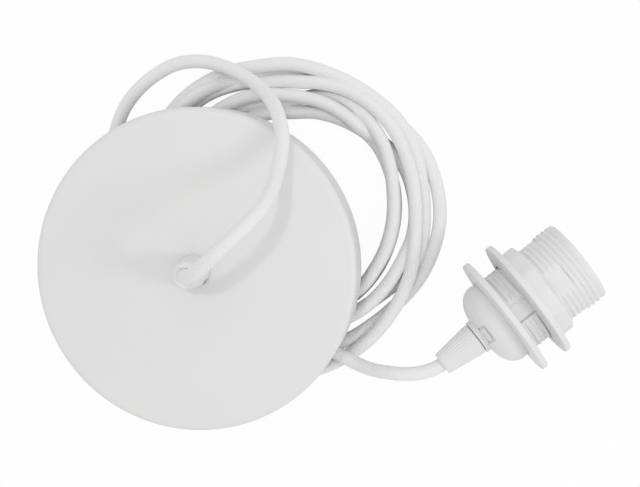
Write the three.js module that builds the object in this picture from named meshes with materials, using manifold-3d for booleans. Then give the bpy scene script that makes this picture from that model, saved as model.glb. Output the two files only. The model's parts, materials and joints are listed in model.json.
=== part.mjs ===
// Pendant cord set: ceiling canopy, textile cord in a loose coil, and a screw lampholder with a shade ring.
// It lies as put down on a table. Millimetres, +Z up, +X along the lampholder's axis out of its mouth.

import * as THREE from 'three';
import { mergeVertices } from 'three/addons/utils/BufferGeometryUtils.js';
import Module from 'manifold-3d';

const wasm = await Module();
wasm.setup();

// Driving dimensions, general
const GAP = 0.3;                 // clearance between pieces that touch
const CUT = 1;                   // how far a cutting tool passes the face that it cuts
const ROUND_SIDES = 48;          // facets round a large turned piece
const SMALL_SIDES = 20;          // facets round a small one

// Canopy
const CUP_RADIUS = 72.5;
const CUP_HEIGHT = 24;
const CUP_WALL = 2;
const CUP_FILLET = 3;
const CUP_AT = [-30.24, 28.6];   // centre of the rim, seen from above
const CUP_ON_COIL_ANGLE = 84;    // degrees from +X to where the rim crosses the coil
const LOCK_BASE_RADIUS = 7.3;
const LOCK_MOUTH_RADIUS = 5.6;
const LOCK_HEIGHT = 18;
const LOCK_SHANK_RADIUS = 5;
const LOCK_SHANK_LENGTH = 8;
const LOCK_SCREW_ANGLE = -72;
const LOCK_SCREW_RADIUS = 1.5;
const LOCK_SCREW_HEIGHT = 4.5;   // above the cup's face
const LOCK_SCREW_PROUD = 1;
const LOCKNUT_ACROSS_FLATS = 14;
const LOCKNUT_HEIGHT = 3;
const HOOK_THICKNESS = 3;
const HOOK_ARM = 19;             // from the cord's eye to the hook's centre
const HOOK_INNER_RADIUS = 5;
const HOOK_WIDTH = 3.2;
const BLOCK_SIZE = [12, 22, 12];
const BLOCK_FROM_AXIS = 18;
const BLOCK_POLE_PITCH = 10;
const BLOCK_BORE = 1.6;
const BLOCK_SCREW_RADIUS = 1.9;

// Cord
const CORD_DIAMETER = 6.3;
const CORD_SIDES = 10;
const CORE_RADIUS = 1.1;
const CORE_SPREAD = 1.5;         // each core's centre from the cord's axis
const SHEATH_END_IN_CUP = 15;    // height above the rim's plane at which the sheath ends
const COIL_CENTRE = [13.86, 24.4];
const COIL_OUTER_RADIUS = 73.8;
const COIL_INNER_RADIUS = 44;
const COIL_LAYERS = 2;
const COIL_NEST = 0.8;           // how far the upper turns sink between the lower ones

// Lampholder, measured along its axis from the joint between grip nut and cap
const HOLDER_AT = [47.41, -72.1];
const NUT_LENGTH = 19;
const NUT_SMALL_RADIUS = 5.4;
const NUT_LARGE_RADIUS = 7.5;
const NUT_FLUTES = 30;
const NUT_FLUTE_DEPTH = 0.25;
const NUT_FLUTE_RADIUS = 0.8;
const NIPPLE_RADIUS = 5;
const NIPPLE_LENGTH = 8;
const CORD_BORE_RADIUS = 3.5;
const COLLET_LENGTH = 6;
const CAP_COLLAR_RADIUS = 8;
const CAP_COLLAR_LENGTH = 2.7;
const CAP_DOME_RADIUS = 19.75;
const CAP_FLANGE_BACK = 14.1;
const CAP_FLANGE_FRONT = 17.8;
const CAP_WALL = 1.8;
const LATCH_SLOT = [2.7, 8.5];   // along the axis and across it
const FLANGE_RADIUS = 29;
const FLANGE_EDGE = 2.7;         // thickness of a flange at its outer edge
const SEAT_STEP = 0.4;           // the cap's flange stands in front of the skirt's seat by this
const THREAD_MAJOR_RADIUS = 20;
const THREAD_DEPTH = 0.8;
const THREAD_PITCH = 2.5;
const BARREL_FLAT_RADIUS = 18.5;
const BARREL_WALL_RADIUS = 15.6; // inner radius of the skirt
const SKIRT_MOUTH = 57.7;
const FULL_THREAD_LENGTH = 9.9;
const MOUTH_RIM = 2;             // plain rim in front of the last turn of thread
const TONGUE_WIDTH = 7.6;        // smooth strip along the upper flat
const TONGUE_SLIT = [0.8, 1.2];  // across and deep, beside the tongue
const TONGUE_RIB = [0.7, 0.5];   // across and high, at its other edge
const RING_FLANGE_BACK = 26.9;
const RING_FLANGE_FRONT = 30.7;
const RING_FRONT = 37.9;
const RING_BOSS_RADIUS = 22.6;
const RING_BOSS_SIDES = 12;
const CARRIER_BACK = 8.4;
const SEAT_HEIGHT = 2.4;         // raised seat on the carrier for the screw shell
const SHELL_RADIUS = 13.3;
const SHELL_WALL = 0.4;
const SHELL_PITCH = 3.6;
const SHELL_WAVE = 0.5;
const SHELL_END = 46;
const CARRIER_SCREW_FROM_AXIS = 8.5;
const HOLDER_TERMINAL_FROM_AXIS = 9;

// Finishes
const plastic = () => new THREE.MeshStandardMaterial({ color: 0xeeeeec, roughness: 0.45, metalness: 0 });
const innerPlastic = () => new THREE.MeshStandardMaterial({ color: 0xe3e1da, roughness: 0.6, metalness: 0 });
const textile = () => new THREE.MeshStandardMaterial({ color: 0xeeeeec, roughness: 0.9, metalness: 0 });
const steel = () => new THREE.MeshStandardMaterial({ color: 0xb9bcc0, roughness: 0.35, metalness: 1 });
const brass = () => new THREE.MeshStandardMaterial({ color: 0xc9a962, roughness: 0.35, metalness: 1 });
const coreSheath = (color) => new THREE.MeshStandardMaterial({ color, roughness: 0.5, metalness: 0 });

// Solids: closed geometry in and out of the boolean library
function toSolid(geometry) {
  const bare = geometry.index ? geometry.toNonIndexed() : geometry.clone();
  for (const name of Object.keys(bare.attributes)) {
    if (name !== 'position') bare.deleteAttribute(name);
  }
  const merged = mergeVertices(bare, 1e-4);
  return new wasm.Manifold(new wasm.Mesh({
    numProp: 3,
    vertProperties: new Float32Array(merged.attributes.position.array),
    triVerts: new Uint32Array(merged.index.array),
  }));
}

function toGeometry(solid) {
  const mesh = solid.getMesh();
  const geometry = new THREE.BufferGeometry();
  geometry.setAttribute('position', new THREE.BufferAttribute(new Float32Array(mesh.vertProperties), 3));
  geometry.setIndex(new THREE.BufferAttribute(new Uint32Array(mesh.triVerts), 1));
  geometry.computeVertexNormals();
  return geometry;
}

function cut(geometry, ...tools) {
  let solid = toSolid(geometry);
  for (const tool of tools) solid = solid.subtract(toSolid(tool));
  return toGeometry(solid);
}

function join(...geometries) {
  let solid = toSolid(geometries[0]);
  for (const other of geometries.slice(1)) solid = solid.add(toSolid(other));
  return toGeometry(solid);
}

// A turned piece about +Z. The profile is a closed list of [radius, height], counter-clockwise.
function turned(profile, sides = ROUND_SIDES) {
  const points = [...profile, profile[0]].map(([r, z]) => new THREE.Vector2(r, z));
  return new THREE.LatheGeometry(points, sides).rotateX(Math.PI / 2);
}

function rod(radius, from, to, sides = SMALL_SIDES) {
  const length = to - from;
  return new THREE.CylinderGeometry(radius, radius, length, sides).rotateX(Math.PI / 2).translate(0, 0, from + length / 2);
}

function block(size, centre) {
  return new THREE.BoxGeometry(...size).translate(...centre);
}

// Points of a quarter-circle fillet on a profile, from one angle to another
function arc(centreR, centreZ, radius, fromDegrees, toDegrees, steps = 4) {
  return Array.from({ length: steps + 1 }, (_, i) => {
    const angle = THREE.MathUtils.degToRad(fromDegrees + (toDegrees - fromDegrees) * i / steps);
    return [centreR + radius * Math.cos(angle), centreZ + radius * Math.sin(angle)];
  });
}

function piece(name, geometry, material, group) {
  const mesh = new THREE.Mesh(geometry, material);
  mesh.name = name;
  group.add(mesh);
  return mesh;
}

// A round rod along a smooth curve through hand-chosen points
function tube(points, radius, sides, stepLength) {
  const curve = new THREE.CatmullRomCurve3(points.map((p) => new THREE.Vector3(...p)), false, 'centripetal');
  const section = new THREE.Shape();
  for (let i = 0; i < sides; i++) {
    const angle = 2 * Math.PI * i / sides;
    const put = i === 0 ? 'moveTo' : 'lineTo';
    section[put](radius * Math.cos(angle), radius * Math.sin(angle));
  }
  section.closePath();
  const steps = Math.max(2, Math.round(curve.getLength() / stepLength));
  return new THREE.ExtrudeGeometry(section, { extrudePath: curve, steps, bevelEnabled: false });
}

const set = new THREE.Group();

// Canopy. Its group stands on the rim's plane and leans back, with the +X side up on the coil.
const coilHeight = COIL_LAYERS * CORD_DIAMETER - COIL_NEST;
const crossing = THREE.MathUtils.degToRad(CUP_ON_COIL_ANGLE);
const tilt = Math.asin((coilHeight + 2 * GAP) / (CUP_RADIUS * (1 + Math.cos(crossing))));
const canopy = new THREE.Group();
canopy.rotation.y = -tilt;
canopy.position.set(CUP_AT[0], CUP_AT[1], CUP_RADIUS * Math.sin(tilt));
set.add(canopy);
const cupCeiling = CUP_HEIGHT - CUP_WALL;

function canopyCup() {
  const innerRadius = CUP_RADIUS - CUP_WALL;
  const innerFillet = CUP_FILLET - CUP_WALL;
  const holeRadius = LOCK_SHANK_RADIUS + GAP;
  return turned([
    [holeRadius, cupCeiling],
    ...arc(innerRadius - innerFillet, cupCeiling - innerFillet, innerFillet, 90, 0, 2),
    [innerRadius, 0],
    [CUP_RADIUS, 0],
    ...arc(CUP_RADIUS - CUP_FILLET, CUP_HEIGHT - CUP_FILLET, CUP_FILLET, 0, 90, 5),
    [holeRadius, CUP_HEIGHT],
  ], 64);
}

function lockScrewPlace(geometry) {
  return geometry.rotateY(Math.PI / 2)
    .rotateZ(THREE.MathUtils.degToRad(LOCK_SCREW_ANGLE))
    .translate(0, 0, CUP_HEIGHT + GAP + LOCK_SCREW_HEIGHT);
}

const lockFoot = CUP_HEIGHT + GAP;
const lockMouth = lockFoot + LOCK_HEIGHT;
const shankEnd = CUP_HEIGHT - LOCK_SHANK_LENGTH;
const lockScrewOuter = LOCK_BASE_RADIUS + LOCK_SCREW_PROUD - 0.4;

function cordLock() {
  const shoulder = LOCK_HEIGHT * 0.3;
  const body = turned([
    [CORD_BORE_RADIUS, shankEnd],
    [LOCK_SHANK_RADIUS, shankEnd],
    [LOCK_SHANK_RADIUS, lockFoot],
    [LOCK_BASE_RADIUS, lockFoot],
    [LOCK_BASE_RADIUS, lockFoot + shoulder],
    [LOCK_MOUTH_RADIUS + 0.4, lockMouth - 1],
    [LOCK_MOUTH_RADIUS - 0.4, lockMouth],
    [CORD_BORE_RADIUS + 0.5, lockMouth],
    [CORD_BORE_RADIUS, lockMouth - 1.5],
  ], 32);
  return cut(body, lockScrewPlace(rod(LOCK_SCREW_RADIUS + GAP, 0, LOCK_BASE_RADIUS + CUT)));
}

function lockScrew() {
  const screw = rod(LOCK_SCREW_RADIUS, CORD_BORE_RADIUS, lockScrewOuter);
  const slot = block([2 * LOCK_SCREW_RADIUS + CUT, 0.5, 1.2], [0, 0, lockScrewOuter]);
  return lockScrewPlace(cut(screw, slot));
}

function canopyLocknut() {
  const radius = LOCKNUT_ACROSS_FLATS / Math.sqrt(3);
  const nut = new THREE.CylinderGeometry(radius, radius, LOCKNUT_HEIGHT, 6)
    .rotateX(Math.PI / 2).translate(0, 0, cupCeiling - GAP - LOCKNUT_HEIGHT / 2);
  return cut(nut, rod(LOCK_SHANK_RADIUS + GAP, shankEnd, CUP_HEIGHT, 24));
}

// Flat moulded hook: an eye on the cord, an arm, and an open hook for the ceiling's own hook
function suspensionHook() {
  const top = cupCeiling - GAP - LOCKNUT_HEIGHT - GAP;
  const eyeRadius = LOCK_SHANK_RADIUS + GAP;
  const outer = HOOK_INNER_RADIUS + HOOK_WIDTH;
  const lift = (shape) => new THREE.ExtrudeGeometry(shape, { depth: HOOK_THICKNESS, bevelEnabled: false, curveSegments: 10 })
    .translate(0, 0, top - HOOK_THICKNESS);
  const eye = new THREE.Shape().absarc(0, 0, eyeRadius + HOOK_WIDTH, 0, 2 * Math.PI);
  const bow = new THREE.Shape();
  const open = THREE.MathUtils.degToRad(-150);
  const close = THREE.MathUtils.degToRad(100);
  bow.absarc(0, HOOK_ARM, outer, open, close, false);
  bow.absarc(0, HOOK_ARM, HOOK_INNER_RADIUS, close, open, true);
  const arm = block([HOOK_WIDTH, HOOK_ARM - HOOK_INNER_RADIUS - eyeRadius, HOOK_THICKNESS],
    [0, (HOOK_ARM - HOOK_INNER_RADIUS + eyeRadius) / 2, top - HOOK_THICKNESS / 2]);
  return cut(join(lift(eye), arm, lift(bow)), rod(eyeRadius, 0, CUP_HEIGHT, 24));
}

const blockTop = cupCeiling - GAP;
const blockX = -BLOCK_FROM_AXIS - BLOCK_SIZE[0] / 2;
const poleHeight = blockTop - BLOCK_SIZE[2] * 0.6;
const screwHeadBottom = blockTop - BLOCK_SIZE[2];

function terminalBlock() {
  const body = block(BLOCK_SIZE, [blockX, 0, blockTop - BLOCK_SIZE[2] / 2]);
  const waist = block([BLOCK_SIZE[0] + CUT, 1.6, BLOCK_SIZE[2] * 0.4],
    [blockX, 0, screwHeadBottom + BLOCK_SIZE[2] * 0.2 - CUT]);
  const tools = [waist];
  for (const side of [-1, 1]) {
    const y = side * BLOCK_POLE_PITCH / 2;
    tools.push(rod(BLOCK_BORE, -BLOCK_SIZE[0], BLOCK_SIZE[0], 12).rotateY(Math.PI / 2).translate(blockX, y, poleHeight));
    tools.push(rod(BLOCK_SCREW_RADIUS + GAP, screwHeadBottom - CUT, poleHeight, 16).translate(blockX, y, 0));
  }
  return cut(body, ...tools);
}

function terminalScrew(y) {
  const top = poleHeight - BLOCK_BORE + GAP;
  const bottom = screwHeadBottom + 1;
  const screw = rod(BLOCK_SCREW_RADIUS, bottom, top, 16);
  const slot = block([2 * BLOCK_SCREW_RADIUS + CUT, 0.6, 1.4], [0, 0, bottom]);
  return cut(screw, slot).translate(blockX, y, 0);
}

function canopyCore(side) {
  const y = side * BLOCK_POLE_PITCH / 2;
  return tube([
    [0, side * CORE_SPREAD, SHEATH_END_IN_CUP - 2 * GAP],
    [0, side * CORE_SPREAD, SHEATH_END_IN_CUP - 1.6],
    [-2, side * (CORE_SPREAD + 0.6), SHEATH_END_IN_CUP - 3.4],
    [-7, side * 3.4, SHEATH_END_IN_CUP - 4.4],
    [-12, y, poleHeight - 1.6],
    [-BLOCK_FROM_AXIS + 2.5, y, poleHeight],
    [-BLOCK_FROM_AXIS - 3, y, poleHeight],
  ], CORE_RADIUS, 8, 2.4);
}

piece('canopy_cup', canopyCup(), plastic(), canopy);
piece('cord_lock', cordLock(), plastic(), canopy);
piece('cord_lock_screw', lockScrew(), steel(), canopy);
piece('canopy_locknut', canopyLocknut(), innerPlastic(), canopy);
piece('suspension_hook', suspensionHook(), innerPlastic(), canopy);
piece('terminal_block', terminalBlock(), innerPlastic(), canopy);
piece('terminal_screw_live', terminalScrew(BLOCK_POLE_PITCH / 2), steel(), canopy);
piece('terminal_screw_neutral', terminalScrew(-BLOCK_POLE_PITCH / 2), steel(), canopy);
piece('core_canopy_live', canopyCore(1), coreSheath(0x6b3f23), canopy);
piece('core_canopy_neutral', canopyCore(-1), coreSheath(0x2f5fa8), canopy);

// Lampholder. Its group's own +Z runs along the axis, and its +Y is the side that faces up.
const holder = new THREE.Group();
holder.position.set(HOLDER_AT[0], HOLDER_AT[1], FLANGE_RADIUS);
holder.quaternion.setFromAxisAngle(new THREE.Vector3(1, 1, 1).normalize(), 2 * Math.PI / 3);
set.add(holder);

// The grip nut's cone is cut by flutes that follow its taper
function gripNut() {
  const seat = NIPPLE_RADIUS + GAP;
  const cone = turned([
    [CORD_BORE_RADIUS, -NUT_LENGTH],
    [NUT_SMALL_RADIUS - 0.6, -NUT_LENGTH],
    [NUT_SMALL_RADIUS, -NUT_LENGTH + 0.6],
    [NUT_LARGE_RADIUS, -1.2],
    [NUT_LARGE_RADIUS - 0.3, 0],
    [seat, 0],
    [seat, -NIPPLE_LENGTH - COLLET_LENGTH - 2 * GAP + 0.8],
    [CORD_BORE_RADIUS + 0.8, -NIPPLE_LENGTH - COLLET_LENGTH - 2 * GAP - 0.6],
    [CORD_BORE_RADIUS, -NIPPLE_LENGTH - COLLET_LENGTH - 2 * GAP - 0.8],
  ], 2 * NUT_FLUTES);
  const taper = Math.atan((NUT_LARGE_RADIUS - NUT_SMALL_RADIUS) / (NUT_LENGTH - 1.8));
  const flutes = Array.from({ length: NUT_FLUTES }, (_, i) =>
    rod(NUT_FLUTE_RADIUS, -NUT_LENGTH, NUT_LENGTH, 6)
      .rotateY(taper)
      .translate((NUT_LARGE_RADIUS + NUT_SMALL_RADIUS) / 2 + NUT_FLUTE_RADIUS - NUT_FLUTE_DEPTH, 0, -NUT_LENGTH / 2)
      .rotateZ(2 * Math.PI * i / NUT_FLUTES));
  return cut(cone, ...flutes);
}

// Split sleeve that the nut squeezes on the cord
function gripCollet() {
  const back = -NIPPLE_LENGTH - COLLET_LENGTH;
  const sleeve = turned([
    [CORD_BORE_RADIUS, back],
    [CORD_BORE_RADIUS + 0.7, back],
    [NIPPLE_RADIUS, back + 1.6],
    [NIPPLE_RADIUS, -NIPPLE_LENGTH - GAP],
    [CORD_BORE_RADIUS, -NIPPLE_LENGTH - GAP],
  ], 24);
  return cut(sleeve, block([2 * NUT_LARGE_RADIUS, 0.8, COLLET_LENGTH], [0, 0, back - 1.5 + COLLET_LENGTH / 2 - 0.6]));
}

const skirtSeat = CAP_FLANGE_FRONT - SEAT_STEP;

function holderCap() {
  const domeCentre = CAP_COLLAR_LENGTH + 9.2;
  const domeHeight = domeCentre - CAP_COLLAR_LENGTH;
  const dome = (inset, steps) => Array.from({ length: steps + 1 }, (_, i) => {
    const t = i / steps * Math.PI / 2;
    const start = CAP_COLLAR_RADIUS - inset;
    return [start + (CAP_DOME_RADIUS - CAP_COLLAR_RADIUS) * Math.sin(t), domeCentre - domeHeight * Math.cos(t) + inset * Math.cos(t)];
  });
  const body = turned([
    [CORD_BORE_RADIUS, -NIPPLE_LENGTH],
    [NIPPLE_RADIUS, -NIPPLE_LENGTH],
    [NIPPLE_RADIUS, GAP],
    [CAP_COLLAR_RADIUS, GAP],
    ...dome(0, 5),
    [CAP_DOME_RADIUS, CAP_FLANGE_BACK],
    [FLANGE_RADIUS, CAP_FLANGE_FRONT - FLANGE_EDGE],
    [FLANGE_RADIUS, CAP_FLANGE_FRONT],
    [THREAD_MAJOR_RADIUS + GAP, CAP_FLANGE_FRONT],
    [THREAD_MAJOR_RADIUS + GAP, skirtSeat],
    [CAP_DOME_RADIUS - CAP_WALL, skirtSeat],
    ...dome(CAP_WALL, 3).reverse(),
    [CORD_BORE_RADIUS, CAP_COLLAR_LENGTH + CAP_WALL],
  ]);
  const slot = block([LATCH_SLOT[1], 12, LATCH_SLOT[0]], [0, CAP_COLLAR_RADIUS + 6.6, CAP_COLLAR_LENGTH + GAP + LATCH_SLOT[0] / 2]);
  return cut(body, slot);
}

// Skirt: barrel with a rounded thread, broken by four flats up to the full thread at its mouth.
// The upper flat carries the latch's tongue, with a slit along one side and a rib along the other.
function holderSkirt() {
  const back = skirtSeat + GAP;
  const crest = THREAD_MAJOR_RADIUS;
  const root = crest - THREAD_DEPTH;
  const profile = [[BARREL_WALL_RADIUS, back], [root, back]];
  const turns = Math.floor((SKIRT_MOUTH - MOUTH_RIM - back) / THREAD_PITCH);
  const start = SKIRT_MOUTH - MOUTH_RIM - turns * THREAD_PITCH;
  for (let i = 0; i < turns; i++) {
    const z = start + i * THREAD_PITCH;
    profile.push([root, z + 0.25 * THREAD_PITCH], [crest, z + 0.75 * THREAD_PITCH]);
  }
  profile.push([root, SKIRT_MOUTH - MOUTH_RIM], [crest - 0.3, SKIRT_MOUTH - MOUTH_RIM + 0.3], [crest - 0.3, SKIRT_MOUTH - 0.5],
    [crest - 0.8, SKIRT_MOUTH], [BARREL_WALL_RADIUS + 0.5, SKIRT_MOUTH],
    [BARREL_WALL_RADIUS, SKIRT_MOUTH - 0.5]);
  const flatLength = SKIRT_MOUTH - FULL_THREAD_LENGTH - back;
  const flats = [0, 1, 2, 3].map((i) =>
    block([8, 2 * THREAD_MAJOR_RADIUS, flatLength + CUT], [BARREL_FLAT_RADIUS + 4, 0, back - CUT + (flatLength + CUT) / 2])
      .rotateZ(Math.PI / 2 * i));
  const openLength = RING_FLANGE_BACK - GAP - back;
  const slit = block([TONGUE_SLIT[0], 2 * TONGUE_SLIT[1], openLength + CUT],
    [-(TONGUE_WIDTH + TONGUE_SLIT[0]) / 2, BARREL_FLAT_RADIUS, back - CUT + (openLength + CUT) / 2]);
  const rib = block([TONGUE_RIB[0], 2 * TONGUE_RIB[1], openLength - GAP],
    [(TONGUE_WIDTH - TONGUE_RIB[0]) / 2, BARREL_FLAT_RADIUS, back + (openLength - GAP) / 2]);
  return join(cut(turned(profile, 40), ...flats, slit), rib);
}

function shadeRing() {
  const bore = THREAD_MAJOR_RADIUS + GAP;
  const flange = turned([
    [bore, RING_FLANGE_BACK],
    [RING_BOSS_RADIUS, RING_FLANGE_BACK],
    [FLANGE_RADIUS, RING_FLANGE_FRONT - FLANGE_EDGE],
    [FLANGE_RADIUS, RING_FLANGE_FRONT],
    [bore, RING_FLANGE_FRONT],
  ]);
  const bossLength = RING_FRONT - RING_FLANGE_BACK;
  const boss = new THREE.CylinderGeometry(RING_BOSS_RADIUS, RING_BOSS_RADIUS, bossLength, RING_BOSS_SIDES)
    .rotateX(Math.PI / 2).translate(0, 0, RING_FLANGE_BACK + bossLength / 2);
  return cut(join(flange, boss), rod(bore, RING_FLANGE_BACK - CUT, RING_FRONT + CUT, ROUND_SIDES));
}

const seatFace = CAP_FLANGE_FRONT + SEAT_HEIGHT;

// Insulating carrier: a disc behind the skirt, and a raised seat inside it for the screw shell
function contactCarrier() {
  const discRadius = CAP_DOME_RADIUS - CAP_WALL - 2;
  const domeRoom = 5.4;
  const body = turned([
    [CORD_BORE_RADIUS, CARRIER_BACK],
    [discRadius - domeRoom, CARRIER_BACK],
    [discRadius, CARRIER_BACK + domeRoom],
    [discRadius, skirtSeat],
    [BARREL_WALL_RADIUS - GAP, skirtSeat],
    [BARREL_WALL_RADIUS - GAP, seatFace],
    [CORD_BORE_RADIUS, seatFace],
  ], 36);
  const holes = [];
  for (const side of [-1, 1]) {
    holes.push(rod(1.5 + GAP, CARRIER_BACK + 3, seatFace + CUT, 16).translate(side * CARRIER_SCREW_FROM_AXIS, 0, 0));
    holes.push(rod(BLOCK_SCREW_RADIUS + GAP, CARRIER_BACK - CUT, CARRIER_BACK + 4, 16)
      .translate(0, side * HOLDER_TERMINAL_FROM_AXIS, 0));
  }
  return cut(body, ...holes);
}

function screwShell() {
  const wave = [];
  const back = seatFace + GAP;
  const count = Math.floor((SHELL_END - back - 2) / SHELL_PITCH);
  for (let i = 0; i < count; i++) {
    const z = back + 1.5 + i * SHELL_PITCH;
    wave.push([-SHELL_WAVE, z + 0.25 * SHELL_PITCH], [SHELL_WAVE, z + 0.75 * SHELL_PITCH]);
  }
  const inner = [[0, back], ...wave, [0, SHELL_END]].map(([dr, z]) => [SHELL_RADIUS + dr, z]);
  const outer = [[0, back], ...wave, [0, SHELL_END]].map(([dr, z]) => [SHELL_RADIUS + SHELL_WALL + dr, z]);
  return turned([...inner.reverse(), ...outer], 28);
}

// Sprung centre contact: a strip that is bent up from the seat towards the lamp
function centreContact() {
  const z = seatFace + GAP;
  const strip = new THREE.Shape([
    [-6, z], [-5.6, z + 0.5], [-2.6, z + 0.5], [-1.2, z + 4.5], [2.6, z + 4.5], [2.6, z + 4], [-0.8, z + 4], [-2.2, z],
  ].map(([x, y]) => new THREE.Vector2(x, y)));
  return new THREE.ExtrudeGeometry(strip, { depth: 5, bevelEnabled: false })
    .translate(0, 0, -2.5).rotateX(Math.PI / 2).rotateZ(Math.PI / 2);
}

// Side contact: a strip between the screw shell and the skirt's wall
function sideContact() {
  const shellOuter = SHELL_RADIUS + SHELL_WALL + SHELL_WAVE;
  const radius = (shellOuter + BARREL_WALL_RADIUS) / 2;
  return block([5, 0.5, 9], [0, -radius + 0.1, seatFace + GAP + 4.5]);
}

function carrierScrew(side) {
  const headTop = seatFace + GAP + 1.4;
  const head = rod(2.5, seatFace + GAP, headTop, 16);
  const shank = rod(1.5, CARRIER_BACK + 3 + GAP, seatFace + GAP + 0.1, 16);
  const slot = block([6, 0.6, 1.2], [0, 0, headTop]);
  return cut(join(head, shank), slot).translate(side * CARRIER_SCREW_FROM_AXIS, 0, 0);
}

function holderTerminalScrew(side) {
  const back = CARRIER_BACK - 1.6;
  const screw = rod(BLOCK_SCREW_RADIUS, back, CARRIER_BACK + 4 - GAP, 16);
  const slot = block([6, 0.6, 1.2], [0, 0, back]);
  return cut(screw, slot).translate(0, side * HOLDER_TERMINAL_FROM_AXIS, 0);
}

function holderCore(side) {
  const sheathEnd = 1;
  return tube([
    [0, side * CORE_SPREAD, sheathEnd + 2 * GAP],
    [0, side * CORE_SPREAD, sheathEnd + 3],
    [0, side * 3.2, sheathEnd + 5],
    [0, side * (HOLDER_TERMINAL_FROM_AXIS - BLOCK_SCREW_RADIUS - CORE_RADIUS - GAP), CARRIER_BACK - CORE_RADIUS - GAP],
  ], CORE_RADIUS, 8, 1.6);
}

piece('cord_grip_nut', gripNut(), plastic(), holder);
piece('grip_collet', gripCollet(), innerPlastic(), holder);
piece('holder_cap', holderCap(), plastic(), holder);
piece('holder_skirt', holderSkirt(), plastic(), holder);
piece('shade_ring', shadeRing(), plastic(), holder);
piece('contact_carrier', contactCarrier(), innerPlastic(), holder);
piece('screw_shell', screwShell(), brass(), holder);
piece('centre_contact', centreContact(), brass(), holder);
piece('side_contact', sideContact(), brass(), holder);
piece('carrier_screw_left', carrierScrew(-1), steel(), holder);
piece('carrier_screw_right', carrierScrew(1), steel(), holder);
piece('holder_terminal_screw_live', holderTerminalScrew(1), steel(), holder);
piece('holder_terminal_screw_neutral', holderTerminalScrew(-1), steel(), holder);
piece('core_holder_live', holderCore(1), coreSheath(0x6b3f23), holder);
piece('core_holder_neutral', holderCore(-1), coreSheath(0x2f5fa8), holder);

// Cord. Where it is not coiled, its route is a list of points chosen by hand.
canopy.updateMatrixWorld(true);
const onLockAxis = (height) => new THREE.Vector3(0, 0, height).applyMatrix4(canopy.matrixWorld).toArray();

const canopyLeadRoute = [
  onLockAxis(SHEATH_END_IN_CUP), onLockAxis(25), onLockAxis(33), onLockAxis(lockMouth),
  [-34.9, 26.8, 66.2], [-31, 26, 73], [-24.2, 26.3, 79.3], [-15.5, 27.1, 83],
  [-5.1, 28, 83.4], [4.6, 29.5, 79.8], [13.2, 32.7, 72.1], [20.8, 38.3, 62.9],
  [27.8, 44.4, 56.2], [33.3, 50.8, 52.6], [36.8, 57.8, 48.7], [39, 65.3, 41],
  [39.2, 74, 31], [37.1, 84.2, 22.6], [33, 93.9, 17], [25.5, 103.9, 12.2],
  [15.3, 110.6, 8.2], [2.9, 113, 4.9], [-8.3, 112.1, 3.7], [-17.8, 108.8, 3.4],
  [-26.1, 103.4, 3.35], [-35.9, 95.5, 3.3], [-44.5, 85.5, 3.3], [-52, 73.5, 3.3],
  [-57.8, 60.3, 3.3], [-61.7, 45.3, 3.3], [-63.4, 31.3, 3.3],
];
const holderLeadRoute = [
  [-2.3, -50, 11.8], [1.7, -56, 16.7], [6.8, -61, 22.9], [11.1, -64.7, 26.1], [16.3, -68.3, 27.9], [23, -71.2, 28.8],
  [28.4, -72.1, 29], [33.4, -72.1, 29], [38.4, -72.1, 29], [43.4, -72.1, 29], [48.4, -72.1, 29],
];
const cordTube = (route) => tube(route, CORD_DIAMETER / 2, CORD_SIDES, CORD_DIAMETER);
const coilRing = turned([
  [COIL_INNER_RADIUS, 0], [COIL_OUTER_RADIUS, 0], [COIL_OUTER_RADIUS, coilHeight], [COIL_INNER_RADIUS, coilHeight],
]).translate(COIL_CENTRE[0], COIL_CENTRE[1], 0);

piece('cord_canopy_lead', cordTube(canopyLeadRoute), textile(), set);
piece('cord_coil', coilRing, textile(), set);
piece('cord_holder_lead', cordTube(holderLeadRoute), textile(), set);

export default set;
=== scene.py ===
# %% [markdown]
# # Pendant cord set
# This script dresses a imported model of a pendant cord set: a ceiling canopy, a textile cord in a
# loose coil and a lampholder with a shade ring. Each piece here is a finer surface that stands where
# its solid is. The holder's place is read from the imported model. The main sizes repeat those in the
# part's source, and finer ones are added here. They are in millimetres until a mesh is made.

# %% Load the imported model
import json
import math
import bpy
import numpy as np
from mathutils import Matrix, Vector


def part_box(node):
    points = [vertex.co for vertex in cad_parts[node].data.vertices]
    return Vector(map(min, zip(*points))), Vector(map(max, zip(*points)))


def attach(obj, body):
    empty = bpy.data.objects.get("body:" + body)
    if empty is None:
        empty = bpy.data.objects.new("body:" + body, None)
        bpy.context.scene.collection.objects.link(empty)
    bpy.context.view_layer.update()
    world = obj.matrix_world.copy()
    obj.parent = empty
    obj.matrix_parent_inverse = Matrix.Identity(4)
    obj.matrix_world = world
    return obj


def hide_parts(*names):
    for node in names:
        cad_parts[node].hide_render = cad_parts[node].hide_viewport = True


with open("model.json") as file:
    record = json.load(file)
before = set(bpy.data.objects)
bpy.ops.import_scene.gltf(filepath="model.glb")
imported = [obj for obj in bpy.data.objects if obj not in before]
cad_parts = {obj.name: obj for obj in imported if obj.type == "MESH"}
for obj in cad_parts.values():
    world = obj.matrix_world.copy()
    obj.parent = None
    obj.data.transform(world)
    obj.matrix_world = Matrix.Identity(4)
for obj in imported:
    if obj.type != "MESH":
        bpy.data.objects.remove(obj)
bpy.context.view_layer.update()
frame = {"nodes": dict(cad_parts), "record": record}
MM = 0.001
BODY = "root"
print("nodes in the frame:", len(frame["nodes"]))

# %% [markdown]
# ## The camera comes first
# The camera was fitted to the photograph. It looks straight down from about two thirds of a metre, so
# it needs no tilt, only a roll, because the lampholder lies at 37.5 degrees across the picture and
# the model's +X runs along it.

# %% Camera
IMAGE_WIDTH = 640
FOCAL_PIXELS = 1400
SENSOR_MM = 36
HOLDER_ANGLE = math.radians(37.5)
CAMERA_OVER = (17.91 * MM, 4.1 * MM)
CAMERA_HEIGHT = 656.5 * MM

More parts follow.
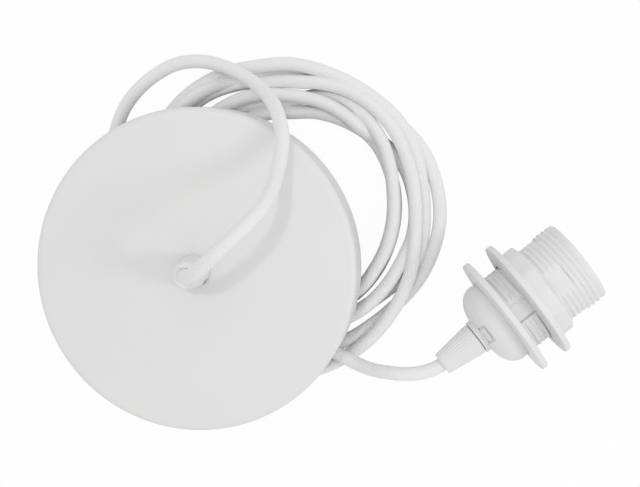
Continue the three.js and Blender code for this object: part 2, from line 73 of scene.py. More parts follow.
camera_data = bpy.data.cameras.new("camera")
camera_data.sensor_width = SENSOR_MM
camera_data.lens = FOCAL_PIXELS / IMAGE_WIDTH * SENSOR_MM
camera_data.clip_start = 0.01
camera = bpy.data.objects.new("camera", camera_data)
camera.location = (*CAMERA_OVER, CAMERA_HEIGHT)
camera.rotation_euler = (0, 0, -HOLDER_ANGLE)
bpy.context.scene.collection.objects.link(camera)
bpy.context.scene.camera = camera
bpy.context.scene.view_settings.view_transform = "Standard"

# %% [markdown]
# ## Surfaces as arrays
# Every new piece is a grid of points: rows along a profile or a path, columns round it. A grid that
# closes both ways, like a ring, has no ends to cap. One function turns such an array into a mesh,
# and it never loops over vertices.

# %% Mesh helpers
def grid_mesh(name, grid, close_rows=True, uv=None):
    """A mesh from points[row, column]. Columns always close round. Rows close too, or end in caps.
    Face (r, c) joins points (r, c), (r, c+1), (r+1, c+1) and (r+1, c)."""
    rows, columns, _ = grid.shape
    count = rows if close_rows else rows - 1
    r, c = np.meshgrid(np.arange(count), np.arange(columns), indexing="ij")
    r_next, c_next = (r + 1) % rows, (c + 1) % columns
    quads = np.stack([r * columns + c, r * columns + c_next,
                      r_next * columns + c_next, r_next * columns + c], axis=-1).reshape(-1, 4)
    mesh = bpy.data.meshes.new(name)
    first_row, last_row = list(range(columns)), list(range((rows - 1) * columns, rows * columns))
    ends = [] if close_rows else [first_row[::-1], last_row]
    mesh.from_pydata(grid.reshape(-1, 3).tolist(), [], quads.tolist() + ends)
    if uv is not None:
        around, along = uv
        layer = mesh.uv_layers.new(name="UVMap")
        corners_u = np.stack([c, c + 1, c + 1, c], axis=-1) / columns * around
        corners_v = along[np.stack([r, r, r_next, r_next], axis=-1)]
        flat = np.stack([corners_u, corners_v], axis=-1).reshape(-1)
        values = np.zeros(len(mesh.loops) * 2)
        values[:len(flat)] = flat
        layer.data.foreach_set("uv", values)
    mesh.update()
    return mesh


def add_piece(name, mesh, smooth_degrees=35):
    """Puts a mesh in the scene at the origin, smooth apart from edges sharper than the angle."""
    mesh.shade_smooth()
    mesh.set_sharp_from_angle(angle=math.radians(smooth_degrees))
    piece = bpy.data.objects.new(name, mesh)
    bpy.context.scene.collection.objects.link(piece)
    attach(piece, BODY)
    print(name, "has", len(mesh.polygons), "faces")
    return piece


def rounded(points, radii, steps=5):
    """A closed outline with each corner rounded: a quadratic curve from a point that lies its
    radius before the corner to one as far after it, with the corner as the control point."""
    points = np.array(points, float)
    out = []
    for i, (point, radius) in enumerate(zip(points, radii)):
        before, after = points[i - 1] - point, points[(i + 1) % len(points)] - point
        if radius == 0:
            out.append(point[None])
            continue
        start = point + before / np.linalg.norm(before) * min(radius, np.linalg.norm(before) * 0.45)
        end = point + after / np.linalg.norm(after) * min(radius, np.linalg.norm(after) * 0.45)
        t = np.linspace(0, 1, steps)[:, None]
        out.append((1 - t) ** 2 * start + 2 * t * (1 - t) * point + t ** 2 * end)
    return np.concatenate(out)


def turned_rows(profile, columns):
    """Radii[row, column] and heights[row, column] of a turned piece, in millimetres."""
    profile = np.asarray(profile)
    return (np.repeat(profile[:, :1], columns, 1), np.repeat(profile[:, 1:], columns, 1))


def polar_grid(radius, height):
    """Points (radius cos a, radius sin a, height) with one column for each angle a."""
    angle = np.linspace(0, 2 * np.pi, radius.shape[1], endpoint=False)
    return np.stack([radius * np.cos(angle), radius * np.sin(angle), height], axis=-1)

# %% [markdown]
# ## Where the two rigid groups stand
# The canopy leans back by the angle that rests its rim on the coil. Its place was fitted to its
# outline in the photograph and repeats the part's source. The lampholder lies level, with its own
# axis along +X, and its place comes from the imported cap.

# %% Places
CUP_RADIUS, CUP_HEIGHT, CUP_WALL, CUP_FILLET = 72.5, 24, 2, 3
LOCK_HEIGHT = 18
GAP = 0.3
CAP_FLANGE_FRONT = 17.8
cap_low, cap_high = (np.array(corner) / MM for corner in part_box("holder_cap"))
cap_middle = (cap_low + cap_high) / 2
HOLDER_PLACE = np.array([cap_high[0] - CAP_FLANGE_FRONT, cap_middle[1], cap_middle[2]])
CUP_AT = np.array([-30.24, 28.6])
COIL_HEIGHT_WITH_GAPS = 12.4
CUP_ON_COIL_DEGREES = 84
CUP_TILT = math.asin(COIL_HEIGHT_WITH_GAPS / (CUP_RADIUS * (1 + math.cos(math.radians(CUP_ON_COIL_DEGREES)))))


def on_holder(points):
    """From the holder's own frame, +Z along its axis and +Y up, to the model's frame in metres."""
    return (points[..., [2, 0, 1]] + HOLDER_PLACE) * MM


def on_canopy(points):
    """From the cup's own frame, rim on z=0, to the model's: turn about Y by the tilt, then lift."""
    x, y, z = points[..., 0], points[..., 1], points[..., 2]
    cos, sin = math.cos(CUP_TILT), math.sin(CUP_TILT)
    return np.stack([x * cos - z * sin + CUP_AT[0], y + CUP_AT[1],
                     x * sin + z * cos + CUP_RADIUS * sin], axis=-1) * MM


print("holder at", HOLDER_PLACE, "cup tilt", math.degrees(CUP_TILT))

# %% [markdown]
# ## The cord
# A braided textile cord, 6.3 mm thick, is one length from the terminals in the canopy to the
# lampholder. The points of its loose ends are the result of a least-squares fit by a scratch script,
# which held places read in the photograph against the tightest bend allowed. The coil between them
# has six turns, each a ring whose radius and height change slowly. Its values were read in the
# photograph, turned into millimetres through the fitted camera by a scratch script, and then moved
# by hand until the strands lay as in the picture. The heights are estimates, the part under the
# canopy is a guess, and some strands cut into each other.

# %% Cord route
CORD_RADIUS = 6.3 / 2
SHEATH_END_IN_CUP = 15
LOCK_MOUTH = CUP_HEIGHT + GAP + LOCK_HEIGHT
COIL_CENTRE = np.array([13.86, 24.4])

on_lock_axis = [on_canopy(np.array([0.0, 0.0, z])) / MM for z in (SHEATH_END_IN_CUP, 25, 33, LOCK_MOUTH)]
canopy_lead = [
    [-34.9, 26.8, 66.2], [-31, 26, 73], [-24.2, 26.3, 79.3], [-15.5, 27.1, 83], [-5.1, 28, 83.4],
    [4.6, 29.5, 79.8], [13.2, 32.7, 72.1], [20.8, 38.3, 62.9], [27.8, 44.4, 56.2], [33.3, 50.8, 52.6],
    [36.8, 57.8, 48.7], [39, 65.3, 41], [39.2, 74, 31], [37.1, 84.2, 22.6], [33, 93.9, 17],
    [25.5, 103.9, 12.2], [15.3, 110.6, 8.2], [2.9, 113, 4.9], [-8.3, 112.1, 3.7], [-17.8, 108.8, 3.4],
    [-26.1, 103.4, 3.35], [-35.9, 95.5, 3.3], [-44.5, 85.5, 3.3], [-52, 73.5, 3.3], [-57.8, 60.3, 3.3],
    [-61.7, 45.3, 3.3], [-63.4, 31.3, 3.3],
]
holder_lead = [
    [-23.7, -9.4, 9.6], [-18, -19.9, 9.6], [-12.2, -30.4, 9.6], [-8, -38.2, 9.6], [-5.9, -42.6, 9.7],
    [-2.3, -50, 11.8], [1.7, -56, 16.7], [6.8, -61, 22.9], [11.1, -64.7, 26.1], [16.3, -68.3, 27.9],
    [23, -71.2, 28.8], [28.4, -72.1, 29], [33.4, -72.1, 29], [38.4, -72.1, 29], [43.4, -72.1, 29],
    [48.4, -72.1, 29],
]

# Each turn: degrees from the picture's right side, radius and height of the cord's middle in mm.
# The first comes in from outside and climbs over the next. The last leaves over all of them.
LOW, HIGH = 3.3, 8.9
COIL_STEP_DEGREES = 5.0
COIL_TURNS = [
    [(222, 76.2, LOW), (240, 76.2, LOW), (258, 75.6, LOW), (272, 74.8, LOW), (284, 73.2, LOW),
     (294, 71.5, 4.2), (304, 69.4, 7.4), (317, 66.6, 9.8), (335, 63.4, 9.8), (345, 61.2, 9.4),
     (360, 59.9, HIGH), (368, 60, HIGH), (378, 60.7, HIGH), (390, 62, 9.4), (397, 62.9, 9.8),
     (405, 63.5, 10), (415, 63.9, 10), (424, 63.7, 9.8), (435, 62.6, 9.4), (445, 61.4, HIGH),
     (455, 61.6, 7.5), (470, 64.5, 4.4), (488, 67, LOW), (530, 67, LOW), (585, 67.2, LOW)],
    [(265, 66.2, LOW), (295, 65, LOW), (305, 65, LOW), (315, 65.6, LOW), (323, 66.6, LOW),
     (330, 68, LOW), (338, 69.3, LOW), (347, 70.5, LOW), (360, 71.6, LOW), (380, 70.8, LOW),
     (386, 70, LOW), (398, 67.6, LOW), (410, 65.8, LOW), (425, 65.2, LOW), (450, 65.2, LOW),
     (470, 67, 5.2), (488, 69, 8.4), (515, 67.6, HIGH), (545, 64.6, HIGH), (585, 61.4, 7),
     (610, 59.4, 4.2)],
    [(270, 57.8, LOW), (302, 55.8, LOW), (312, 56.5, LOW), (320, 58, LOW), (328, 60.4, LOW),
     (335, 62.8, LOW), (345, 64.4, LOW), (360, 64.2, LOW), (375, 64.9, 4.6), (382, 66, 5.8),
     (392, 67.2, 7.2), (403, 67.6, 7.6), (414, 67.3, 8), (424, 67.4, 9), (435, 68, 9.8),
     (450, 69.4, 9.6), (460, 69.5, 9.3), (470, 70.7, 8.2), (480, 71.6, 6.6), (490, 72, 5),
     (500, 71.6, 3.6), (520, 71.2, LOW), (548, 70.6, 4.2), (566, 67.5, 8.6), (580, 63.4, 9.8),
     (594, 59, 9.8), (606, 56, 8)],
    [(256, 54.8, 5.8), (270, 55, 7.8), (285, 55, 9.2), (298, 55.3, 9.4), (309, 56.2, 9.4), (327, 57, 9),
     (339, 57.9, 7), (350, 59.5, 4.6), (360, 60, LOW), (378, 59.4, LOW), (388, 57.8, 3.6),
     (396, 56, 4.4), (404, 53.6, 6), (411, 52.5, 7.4), (416, 52.9, 8), (422, 53.5, 8.4),
     (429, 54.1, 8.6), (435, 54.3, HIGH), (449, 54.8, HIGH), (463, 56.6, HIGH), (471, 57.3, HIGH),
     (483, 57.3, HIGH), (508, 54.8, HIGH), (528, 52.6, 7.2), (545, 52, 4.2), (565, 52.2, LOW),
     (606, 50.6, LOW)],
    [(270, 49.4, LOW), (300, 49, LOW), (340, 49.6, LOW), (360, 50.6, LOW), (380, 52, LOW),
     (388, 52.6, LOW), (398, 53.2, LOW), (404, 53.2, LOW), (410, 52.4, LOW), (416, 51.6, LOW),
     (424, 50.6, LOW), (435, 49.3, LOW), (448, 47.5, LOW), (463, 47.8, LOW), (471, 48.2, LOW),
     (540, 46, LOW), (585, 44.8, LOW)],
    [(270, 43.8, LOW), (288, 45.4, 4.6), (302, 47.2, 8), (318, 48.4, HIGH), (328, 48.2, HIGH),
     (340, 48.5, HIGH), (360, 49.5, HIGH), (371, 50.4, 9.2), (383, 52.4, 9.4), (389, 53.6, 9.6),
     (395, 55, 9.6), (402, 56.4, 9.2), (409, 57.7, 8), (415, 58.8, 6.6), (421, 59.6, 5.2),
     (428, 59.4, 4), (436, 57, LOW), (445, 54, LOW), (455, 52.8, LOW), (466, 53.6, LOW),
     (478, 55.8, LOW), (494, 58, LOW), (518, 58.4, 4.4), (538, 57, 8.2), (556, 53, 9.6),
     (575, 50.4, 9.6), (602, 50.2, 9.6)],
]


def coil_points():
    """The turns as points on one winding: turn k adds k full circles to its angles."""
    table = np.array([(degrees + 360 * k, radius, height)
                      for k, turn in enumerate(COIL_TURNS) for degrees, radius, height in turn])
    fine = np.arange(table[0, 0], table[-1, 0], COIL_STEP_DEGREES)
    radius, height = (smooth_through(table[:, 0], table[:, i], fine) for i in (1, 2))
    angle = np.radians(fine) - HOLDER_ANGLE
    return np.stack([COIL_CENTRE[0] + radius * np.cos(angle),
                     COIL_CENTRE[1] + radius * np.sin(angle), height], axis=-1)


def smooth_through(known, values, at):
    """A curve through known points, a Hermite cubic on each piece. The slope at a point is the
    harmonic mean of the two beside it, or 0 at a peak, so the curve never overshoots."""
    known, values = np.asarray(known, float), np.asarray(values, float)
    steps = np.diff(known)
    slopes = np.diff(values) / steps
    before, after = slopes[:-1], slopes[1:]
    inner = np.where(before * after > 0, 2 * before * after / (before + after + 1e-12), 0)
    tangents = np.concatenate([[slopes[0]], inner, [slopes[-1]]])
    i = np.clip(np.searchsorted(known, at, side="right") - 1, 0, len(steps) - 1)
    t = (at - known[i]) / steps[i]
    return ((2 * t ** 3 - 3 * t ** 2 + 1) * values[i] + (t ** 3 - 2 * t ** 2 + t) * steps[i] * tangents[i]
            + (-2 * t ** 3 + 3 * t ** 2) * values[i + 1] + (t ** 3 - t ** 2) * steps[i] * tangents[i + 1])


def centripetal(points, spacing):
    """A Catmull-Rom curve through the points, knots spaced by the square root of each chord, then
    walked at an even spacing along its length."""
    points = np.asarray(points, float)
    padded = np.vstack([2 * points[0] - points[1], points, 2 * points[-1] - points[-2]])
    knots = np.concatenate([[0], np.cumsum(np.sqrt(np.linalg.norm(np.diff(padded, axis=0), axis=1)))])
    pieces = []
    for i in range(1, len(padded) - 2):
        t = np.linspace(knots[i], knots[i + 1], 24, endpoint=i == len(padded) - 3)[:, None]
        k = knots[i - 1:i + 3]
        p = padded[i - 1:i + 3]
        a = [((k[j + 1] - t) * p[j] + (t - k[j]) * p[j + 1]) / (k[j + 1] - k[j]) for j in range(3)]
        b = [((k[j + 2] - t) * a[j] + (t - k[j]) * a[j + 1]) / (k[j + 2] - k[j]) for j in range(2)]
        pieces.append(((k[2] - t) * b[0] + (t - k[1]) * b[1]) / (k[2] - k[1]))
    dense = np.concatenate(pieces)
    walked = np.concatenate([[0], np.cumsum(np.linalg.norm(np.diff(dense, axis=0), axis=1))])
    even = np.linspace(0, walked[-1], int(walked[-1] / spacing) + 1)
    return np.stack([np.interp(even, walked, dense[:, k]) for k in range(3)], axis=-1), walked[-1]


CORD_STEP = 1.6
route = np.vstack([on_lock_axis, canopy_lead, coil_points(), holder_lead])
cord_line, cord_length = centripetal(route, CORD_STEP)
print("cord length", round(cord_length / 1000, 3), "m in", len(cord_line), "steps")

# %% [markdown]
# The tube carries a ring of points along the route. The ring must not spin as the route bends, or
# the braid would twist. Each ring's side direction is the last one with its part along the new
# direction taken away, which is the simplest frame that does not roll.

# %% Cord tube
def tube_grid(line, radius, sides):
    """Rings round a line: centre + radius (side cos a + up sin a), with a side that never rolls."""
    direction = np.gradient(line, axis=0)
    direction /= np.linalg.norm(direction, axis=1)[:, None]
    side = np.zeros_like(line)
    side[0] = np.cross(direction[0], [0.0, 1.0, 0.0])
    for i in range(1, len(line)):
        side[i] = side[i - 1] - direction[i] * np.dot(side[i - 1], direction[i])
        side[i] /= np.linalg.norm(side[i])
    side[0] /= np.linalg.norm(side[0])
    up = np.cross(direction, side)
    angle = np.linspace(0, 2 * np.pi, sides, endpoint=False)
    radius = np.broadcast_to(radius, (len(line), sides))[..., None]
    cos, sin = np.cos(angle)[:, None], np.sin(angle)[:, None]
    return line[:, None] + radius * (side[:, None] * cos + up[:, None] * sin)


CORD_SIDES = 28
cord_mesh = grid_mesh("cord", tube_grid(cord_line, CORD_RADIUS, CORD_SIDES) * MM, close_rows=False,
                      uv=(1.0, np.linspace(0, cord_length * MM, len(cord_line))))
cord = add_piece("cord", cord_mesh, 60)
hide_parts("cord_canopy_lead", "cord_coil", "cord_holder_lead")

# %% [markdown]
# ## Canopy
# The cup is one moulding: a flat face, a rolled edge and a straight wall 2 mm thick. It is a profile
# turned round the middle, with many columns so that its outline is a true circle in the picture.

# %% Canopy cup and cord lock
def turned_piece(name, profile, place, columns=128, smooth=35):
    radius, height = turned_rows(profile, columns)
    return add_piece(name, grid_mesh(name, place(polar_grid(radius, height))), smooth)


hole = 5.3
inner = CUP_RADIUS - CUP_WALL
cup_profile = rounded(
    [(hole, CUP_HEIGHT - CUP_WALL), (inner, CUP_HEIGHT - CUP_WALL), (inner, 0), (CUP_RADIUS, 0),
     (CUP_RADIUS, CUP_HEIGHT), (hole, CUP_HEIGHT)],
    [0, 2, 0.3, 0.5, CUP_FILLET, 0.2], 9)[::-1]
cup = turned_piece("canopy_cup_skin", cup_profile, on_canopy, 224)
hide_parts("canopy_cup")

lock_foot = CUP_HEIGHT + GAP
lock_profile = rounded(
    [(3.5, 16), (5, 16), (5, lock_foot), (7.3, lock_foot), (7.2, lock_foot + 5.4), (6, LOCK_MOUTH - 1),
     (5.4, LOCK_MOUTH), (3.4, LOCK_MOUTH), (3.1, LOCK_MOUTH - 0.4), (3.1, LOCK_MOUTH - 3)],
    [0, 0, 0, 0.4, 1.2, 0.6, 0.5, 0.2, 0.2, 0], 6)[::-1]
lock = turned_piece("cord_lock_skin", lock_profile, on_canopy, 72)
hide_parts("cord_lock")

# %% [markdown]
# ## Lampholder
# The holder is three mouldings that screw together. The cap and the shade ring are turned forms.
# The skirt's thread is a true helix: its radius is a wave that moves round by one turn for each
# pitch. Four flats cut it, and the latch's smooth tongue lies along the one that faces up.

# %% Grip nut
NUT_LENGTH, NUT_FLUTES, NUT_FLUTE_DEPTH = 19, 30, 0.25


def nut_surface(columns=360, rows=24):
    """Outer radius = cone - depth * flute wave, the wave fading out at both ends of the nut."""
    angle = np.linspace(0, 2 * np.pi, columns, endpoint=False)
    z = np.linspace(-NUT_LENGTH + 0.5, -0.3, rows)[:, None]
    cone = np.interp(z, [-NUT_LENGTH, -1.2, 0], [5.25, 7.45, 7.25])
    fade = soft_step(z, -NUT_LENGTH + 0.7, -NUT_LENGTH + 2) * (1 - soft_step(z, -2.6, -1.5))
    wave = 0.5 + 0.5 * np.cos(NUT_FLUTES * angle)[None]
    outer = cone - NUT_FLUTE_DEPTH * fade * wave
    back = [np.full((1, columns), r) for r in (3.5, 4.9)]
    front = [np.full((1, columns), r) for r in (7.05, 5.3, 5.3, 3.5)]
    heights = [-NUT_LENGTH + 0.4, -NUT_LENGTH, *z[:, 0], 0.2, 0.2, -13.8, -15.4]
    height = np.repeat(np.array(heights)[:, None], columns, 1)
    return polar_grid(np.concatenate(back + [outer] + front), height)


def soft_step(value, low, high):
    """0 below low, 1 above high, and 3t^2 - 2t^3 between."""
    t = np.clip((value - low) / (high - low), 0, 1)
    return t * t * (3 - 2 * t)


nut_mesh = grid_mesh("grip_nut_skin", on_holder(nut_surface())[::-1])
nut = add_piece("grip_nut_skin", nut_mesh, 50)
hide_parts("cord_grip_nut")

# %% Holder cap
FLANGE_RADIUS = 29
COLLAR_RADIUS, COLLAR_FRONT, DOME_REACH, DOME_HEIGHT, CAP_WALL = 8, 2.7, 11.75, 9.2, 1.8
SLOT_BACK, SLOT_FRONT, SLOT_HALF = 3.0, 5.7, 4.25
dome_t = np.linspace(0, np.pi / 2, 72)
dome_outer = np.stack([COLLAR_RADIUS + DOME_REACH * np.sin(dome_t),
                       COLLAR_FRONT + DOME_HEIGHT * (1 - np.cos(dome_t))], axis=-1)
inner_t = dome_t[::-6]
dome_inner = np.stack([COLLAR_RADIUS - CAP_WALL + DOME_REACH * np.sin(inner_t),
                       COLLAR_FRONT + DOME_HEIGHT - (DOME_HEIGHT - CAP_WALL) * np.cos(inner_t)], axis=-1)
cap_profile = np.vstack([
    [(3.5, -8), (5, -8), (5, 0.3)],
    rounded([(COLLAR_RADIUS, 0.3), (COLLAR_RADIUS, 2.2)], [0.35, 0], 4)[:5],
    dome_outer,
    rounded([(19.75, 14.1), (FLANGE_RADIUS, 15.1), (FLANGE_RADIUS, CAP_FLANGE_FRONT),
             (20.3, CAP_FLANGE_FRONT), (20.3, 17.4), (17.95, 17.4)], [1.4, 0.5, 0.4, 0, 0, 0], 6),
    dome_inner, [(3.5, COLLAR_FRONT + CAP_WALL)]])[::-1]


def cap_surface(columns=360):
    """The turned cap. In the latch's slot the dome is sunk 1.7 mm, apart from a tab in its middle, sunk 0.5
    mm, that reaches the slot's end by the collar.
    """
    radius, height = turned_rows(cap_profile, columns)
    angle = np.linspace(0, 2 * np.pi, columns, endpoint=False)[None]
    outside = (np.arange(len(cap_profile)) > len(dome_inner))[:, None]
    across = radius * np.cos(angle)
    in_length = (height > SLOT_BACK) & (height < SLOT_FRONT)
    in_slot = outside & in_length & (np.abs(across) < SLOT_HALF) & (np.sin(angle) > 0)
    on_tab = in_slot & (height < SLOT_FRONT - 0.7) & (np.abs(across) < SLOT_HALF - 0.8)
    return polar_grid(radius - np.where(on_tab, 0.5, np.where(in_slot, 1.7, 0)), height)


cap_mesh = grid_mesh("holder_cap_skin", on_holder(cap_surface()))
cap = add_piece("holder_cap_skin", cap_mesh)
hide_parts("holder_cap")

# %% Skirt with its thread
THREAD_PITCH, THREAD_MAJOR, THREAD_DEPTH = 2.5, 20.0, 0.9
SKIRT_BACK, SKIRT_MOUTH, THREAD_END = 17.7, 57.7, 55.7
FLAT_RADIUS, FLAT_END = 18.5, SKIRT_MOUTH - 9.9
TONGUE_HALF, TONGUE_END = 3.8, 26.6


def skirt_surface(columns=480, rows_per_pitch=10):
    """Outer radius = the smaller of the thread's wave and the flat. The wave's phase is
    height / pitch - angle / circle. The latch's tongue on the upper flat has a slit and a rib."""
    angle = np.linspace(0, 2 * np.pi, columns, endpoint=False)[None]
    rows = int((THREAD_END - SKIRT_BACK) / THREAD_PITCH * rows_per_pitch)
    z = np.linspace(SKIRT_BACK, THREAD_END + 0.3, rows)[:, None]
    wave = 0.5 + 0.5 * np.cos(2 * np.pi * (z / THREAD_PITCH - angle / (2 * np.pi)))
    start = soft_step(z, SKIRT_BACK + 0.6, SKIRT_BACK + 1.8)
    start = start * (1 - soft_step(z, THREAD_END - 0.8, THREAD_END))
    lip = 0.55 * soft_step(z, THREAD_END - 0.5, THREAD_END + 0.3)
    thread = THREAD_MAJOR - THREAD_DEPTH + THREAD_DEPTH * wave ** 0.8 * start + lip
    from_flat = (angle + np.pi / 4) % (np.pi / 2) - np.pi / 4
    flat = FLAT_RADIUS / np.cos(from_flat) + 4 * soft_step(z, FLAT_END - 0.3, FLAT_END + 0.3)
    outer = np.minimum(thread, flat)
    across = outer * np.cos(angle)
    on_top = (np.sin(angle) > 0) & (z < TONGUE_END)
    outer = np.where(on_top & (np.abs(across) < TONGUE_HALF), FLAT_RADIUS / np.cos(from_flat), outer)
    outer = outer - 1.2 * (on_top & (np.abs(across + TONGUE_HALF + 0.4) < 0.4))
    outer = outer + 0.5 * (on_top & (z < TONGUE_END - 0.6) & (np.abs(across - TONGUE_HALF + 0.35) < 0.35))
    mouth = [(19.7, 0.6), (19.55, 0.2), (19.2, 0), (16.1, 0), (15.6, 0.5)]
    mouth_rows = [np.full((1, columns), r) for r, _ in mouth]
    radius = np.concatenate([np.full((1, columns), 15.6), outer] + mouth_rows)
    heights = np.concatenate([[SKIRT_BACK], z[:, 0], [SKIRT_MOUTH - back for _, back in mouth]])
    return polar_grid(radius, np.repeat(heights[:, None], columns, 1))


skirt_mesh = grid_mesh("holder_skirt_skin", on_holder(skirt_surface())[::-1])
skirt = add_piece("holder_skirt_skin", skirt_mesh, 55)
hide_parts("holder_skirt")

# %% Shade ring
def ring_surface(columns=240):
    """A coned flange, then a twelve-sided boss: radius = apothem / cos(angle from the side's middle)."""
    angle = np.linspace(0, 2 * np.pi, columns, endpoint=False)
    side = np.pi / 6
    apothem = 22.6 * math.cos(side / 2)
    boss = np.minimum(apothem / np.cos((angle % side) - side / 2), 22.45)
    flange = rounded([(22.6, 26.9), (FLANGE_RADIUS, 28.0), (FLANGE_RADIUS, 30.7)], [0, 0.5, 0.4], 5)
    rows = [(20.05, 26.9)] + [(r, z) for r, z in flange]
    radius = [np.full(columns, r) for r, _ in rows]
    height = [z for _, z in rows]
    radius += [boss, boss, boss - 0.5, np.full(columns, 20.5), np.full(columns, 20.05)]
    height += [30.7, 37.4, 37.9, 37.9, 37.5]
    return polar_grid(np.array(radius), np.repeat(np.array(height)[:, None], columns, 1))


ring_mesh = grid_mesh("shade_ring_skin", on_holder(ring_surface())[::-1])
ring = add_piece("shade_ring_skin", ring_mesh, 25)
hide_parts("shade_ring")

# %% [markdown]
# ## Materials
# Everything in view is white, so the finishes differ by grain and gloss. A function turns the hex
# colours that a designer writes, which are sRGB, to the linear values that Blender computes with.

# %% Material helpers
def linear(hex_colour):
    """sRGB hex to linear: c / 12.92 below 0.04045, else ((c + 0.055) / 1.055) ** 2.4."""
    values = np.array([int(hex_colour[i:i + 2], 16) / 255 for i in (1, 3, 5)])
    return (*np.where(values <= 0.04045, values / 12.92, ((values + 0.055) / 1.055) ** 2.4), 1)


def new_material(name, hex_colour, roughness, metallic=0.0, ior=1.5):
    material = bpy.data.materials.new(name)
    material.use_nodes = True
    shader = material.node_tree.nodes["Principled BSDF"]
    shader.inputs["Base Color"].default_value = linear(hex_colour)
    shader.inputs["Roughness"].default_value = roughness
    shader.inputs["Metallic"].default_value = metallic
    if metallic == 0:
        shader.inputs["IOR"].default_value = ior
    return material, shader


def node(material, kind, settings=(), inputs=()):
    """Adds a node. Settings are its own properties; inputs are values or sockets to link."""
    made = material.node_tree.nodes.new(kind)
    for key, value in dict(settings).items():
        setattr(made, key, value)
    for key, value in dict(inputs).items():
        if isinstance(value, bpy.types.NodeSocket):
            material.node_tree.links.new(value, made.inputs[key])
        else:
            made.inputs[key].default_value = value
    return made


def bump(material, shader, height, strength, distance_mm):
    made = node(material, "ShaderNodeBump",
                inputs={"Height": height, "Strength": strength, "Distance": distance_mm * MM})
    material.node_tree.links.new(made.outputs["Normal"], shader.inputs["Normal"])


def tint(material, shader, factor, low_hex, high_hex):
    mix = node(material, "ShaderNodeMix", {"data_type": "RGBA"}, {0: factor})
    mix.inputs[6].default_value, mix.inputs[7].default_value = linear(low_hex), linear(high_hex)
    material.node_tree.links.new(mix.outputs[2], shader.inputs["Base Color"])

# %% [markdown]
# The plastic is taken to be moulded ABS with a fine even grain, which breaks up its gloss. The
# grain's size and depth were set by their look. A second, slower noise lets the white drift a
# little.

# %% Moulded plastics
def noise(material, size_mm, detail):
    """A noise in the object's own frame, its grains about this size."""
    place = node(material, "ShaderNodeTexCoord").outputs["Object"]
    made = node(material, "ShaderNodeTexNoise",
                inputs={"Vector": place, "Scale": 1 / (size_mm * MM), "Detail": detail})
    return made.outputs["Fac"]


DRIFT_MM = 35


def moulded(name, low_hex, high_hex, roughness, grain_mm, depth_mm):
    material, shader = new_material(name, high_hex, roughness, ior=1.53)
    bump(material, shader, noise(material, grain_mm, 2.0), 0.35, depth_mm)
    tint(material, shader, noise(material, DRIFT_MM, 2.0), low_hex, high_hex)
    return material


white_abs = moulded("white_abs_moulded", "#E5E5E5", "#E9E9E8", 0.42, 0.7, 0.05)
inner_abs = moulded("natural_nylon_moulded", "#DAD7CC", "#E4E1D8", 0.55, 0.8, 0.05)

# %% [markdown]
# The cord's jacket is taken to be polyester yarn, braided in a fine diamond pattern. Each crossing of two
# yarns stands up as a small diamond, and the same pattern paints the grooves between them a darker white
# as painted shade. The pattern lives in the tube's own UV map: one unit round the cord, and metres along
# it, so the braid follows every bend.

# %% Braided textile
CARRIERS = 18
BRAID_PITCH_MM = 1.3


def math_node(material, operation, *values):
    return node(material, "ShaderNodeMath", {"operation": operation}, dict(enumerate(values))).outputs[0]


braid, braid_shader = new_material("white_polyester_braid", "#FFFFFF", 0.9)
uv = node(braid, "ShaderNodeUVMap", {"uv_map": "UVMap"}).outputs["UV"]
split = node(braid, "ShaderNodeSeparateXYZ", inputs={0: uv})
around = math_node(braid, "MULTIPLY", split.outputs[0], CARRIERS * math.pi)
along = math_node(braid, "MULTIPLY", split.outputs[1], math.pi / (BRAID_PITCH_MM * MM))
rising = math_node(braid, "ABSOLUTE", math_node(braid, "SINE", math_node(braid, "ADD", around, along)))
falling = math_node(braid, "ABSOLUTE", math_node(braid, "SINE", math_node(braid, "SUBTRACT", around, along)))
braid_relief_and_groove_shade = math_node(braid, "MULTIPLY", rising, falling)
bump(braid, braid_shader, braid_relief_and_groove_shade, 0.5, 0.25)
# painted shade: the braid's low grooves are tinted #E9E9E9 and its raised crossings #FDFDFD, from the same
# relief that drives the bump
tint(braid, braid_shader, braid_relief_and_groove_shade, "#E9E9E9", "#FDFDFD")
braid_shader.inputs["Sheen Weight"].default_value = 0.4
braid_shader.inputs["Sheen Roughness"].default_value = 0.5

# %% Metals and cores
steel, steel_shader = new_material("zinc_plated_steel", "#C3C5C8", 0.32, 1.0)
bump(steel, steel_shader, noise(steel, 0.6, 3.0), 0.15, 0.03)

brass, brass_shader = new_material("pressed_brass", "#D9BE7C", 0.28, 1.0)
tint(brass, brass_shader, noise(brass, 4, 3.0), "#C7A962", "#E2CB8E")

brown_core = moulded("brown_pvc_core", "#5E3822", "#6B4028", 0.4, 0.8, 0.02)
blue_core = moulded("blue_pvc_core", "#2B589A", "#3264AB", 0.4, 0.8, 0.02)

# %% Give each piece its finish
FINISH_OF_SLOT = {
    "moulded_plastic": white_abs, "inner_plastic": inner_abs, "plated_steel": steel, "brass": brass,
    "brown_core": brown_core, "blue_core": blue_core, "textile_cord": braid,
}
for piece in (cup, lock, nut, cap, skirt, ring):
    piece.data.materials.append(white_abs)
cord.data.materials.append(braid)
slot_of_node = {row["node"]: row["material_slot"] for row in frame["record"]["subparts"]}
for name, cad_node in frame["nodes"].items():
    cad_node.data.materials.clear()
    cad_node.data.materials.append(FINISH_OF_SLOT[slot_of_node[name]])

# %% [markdown]
# ## Floor and light
# The floor is white. For the camera it also glows a little, which lifts it to the photo's plain
# white and still leaves a soft shadow. The light is a white dome with two lamps: a narrow sun from
# the upper left of the picture, which throws the cord's shadow on the canopy, and a square panel at
# the right, which fills the sides that the sun leaves dark.

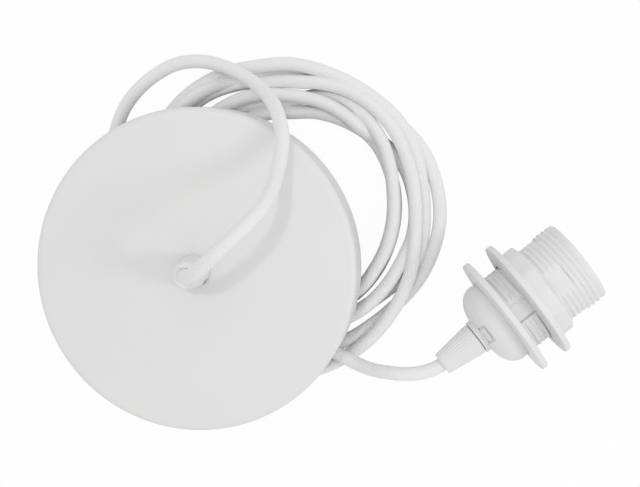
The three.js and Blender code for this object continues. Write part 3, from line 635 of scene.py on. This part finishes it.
# %% Floor
floor_mesh = bpy.data.meshes.new("floor")
floor_mesh.from_pydata([(-4, -4, 0), (4, -4, 0), (4, 4, 0), (-4, 4, 0)], [], [(0, 1, 2, 3)])
floor = bpy.data.objects.new("floor", floor_mesh)
floor.location.z = -0.0002
bpy.context.scene.collection.objects.link(floor)
paper, paper_shader = new_material("white_paper", "#F4F4F4", 0.9)
glow = node(paper, "ShaderNodeEmission", inputs={"Color": (1, 1, 1, 1), "Strength": 1.0})
ray = node(paper, "ShaderNodeLightPath")
seen = math_node(paper, "MULTIPLY", ray.outputs["Is Camera Ray"], 0.95)
paper_mix = node(paper, "ShaderNodeMixShader",
                 inputs={0: seen, 1: paper_shader.outputs[0], 2: glow.outputs[0]})
paper.node_tree.links.new(paper_mix.outputs[0], paper.node_tree.nodes["Material Output"].inputs["Surface"])
floor_mesh.materials.append(paper)

# %% Lights
def picture_direction(right, up, above):
    """A direction given in the picture's right and up, turned to the model's frame."""
    cos, sin = math.cos(HOLDER_ANGLE), math.sin(HOLDER_ANGLE)
    return np.array([right * cos + up * sin, -right * sin + up * cos, above])


def add_sun(name, towards, strength, angle):
    """A sun. Its lamp shines along its own -Z, so +Z is turned to where the light comes from."""
    data = bpy.data.lights.new(name, "SUN")
    data.energy = strength
    data.angle = angle
    lamp = bpy.data.objects.new(name, data)
    lamp.rotation_euler = Vector(picture_direction(*towards)).to_track_quat("Z", "Y").to_euler()
    bpy.context.scene.collection.objects.link(lamp)


add_sun("key", (-0.18, 0.18, 1.0), 0.3, 0.07)


def add_panel(name, place, watts, size):
    """A square panel that faces the middle of the set, its place given in the picture in metres."""
    data = bpy.data.lights.new(name, "AREA")
    data.energy = watts
    data.size = size
    lamp = bpy.data.objects.new(name, data)
    lamp.location = Vector(picture_direction(*place)) + Vector((*CAMERA_OVER, 0))
    lamp.rotation_euler = (lamp.location - Vector((*CAMERA_OVER, 0.03))).to_track_quat("Z", "Y").to_euler()
    bpy.context.scene.collection.objects.link(lamp)


add_panel("fill", (0.42, -0.1, 0.5), 0.55, 0.14)
world = bpy.data.worlds.new("studio")
world.use_nodes = True
world.node_tree.nodes["Background"].inputs["Color"].default_value = (1, 1, 1, 1)
world.node_tree.nodes["Background"].inputs["Strength"].default_value = 0.76
bpy.context.scene.world = world
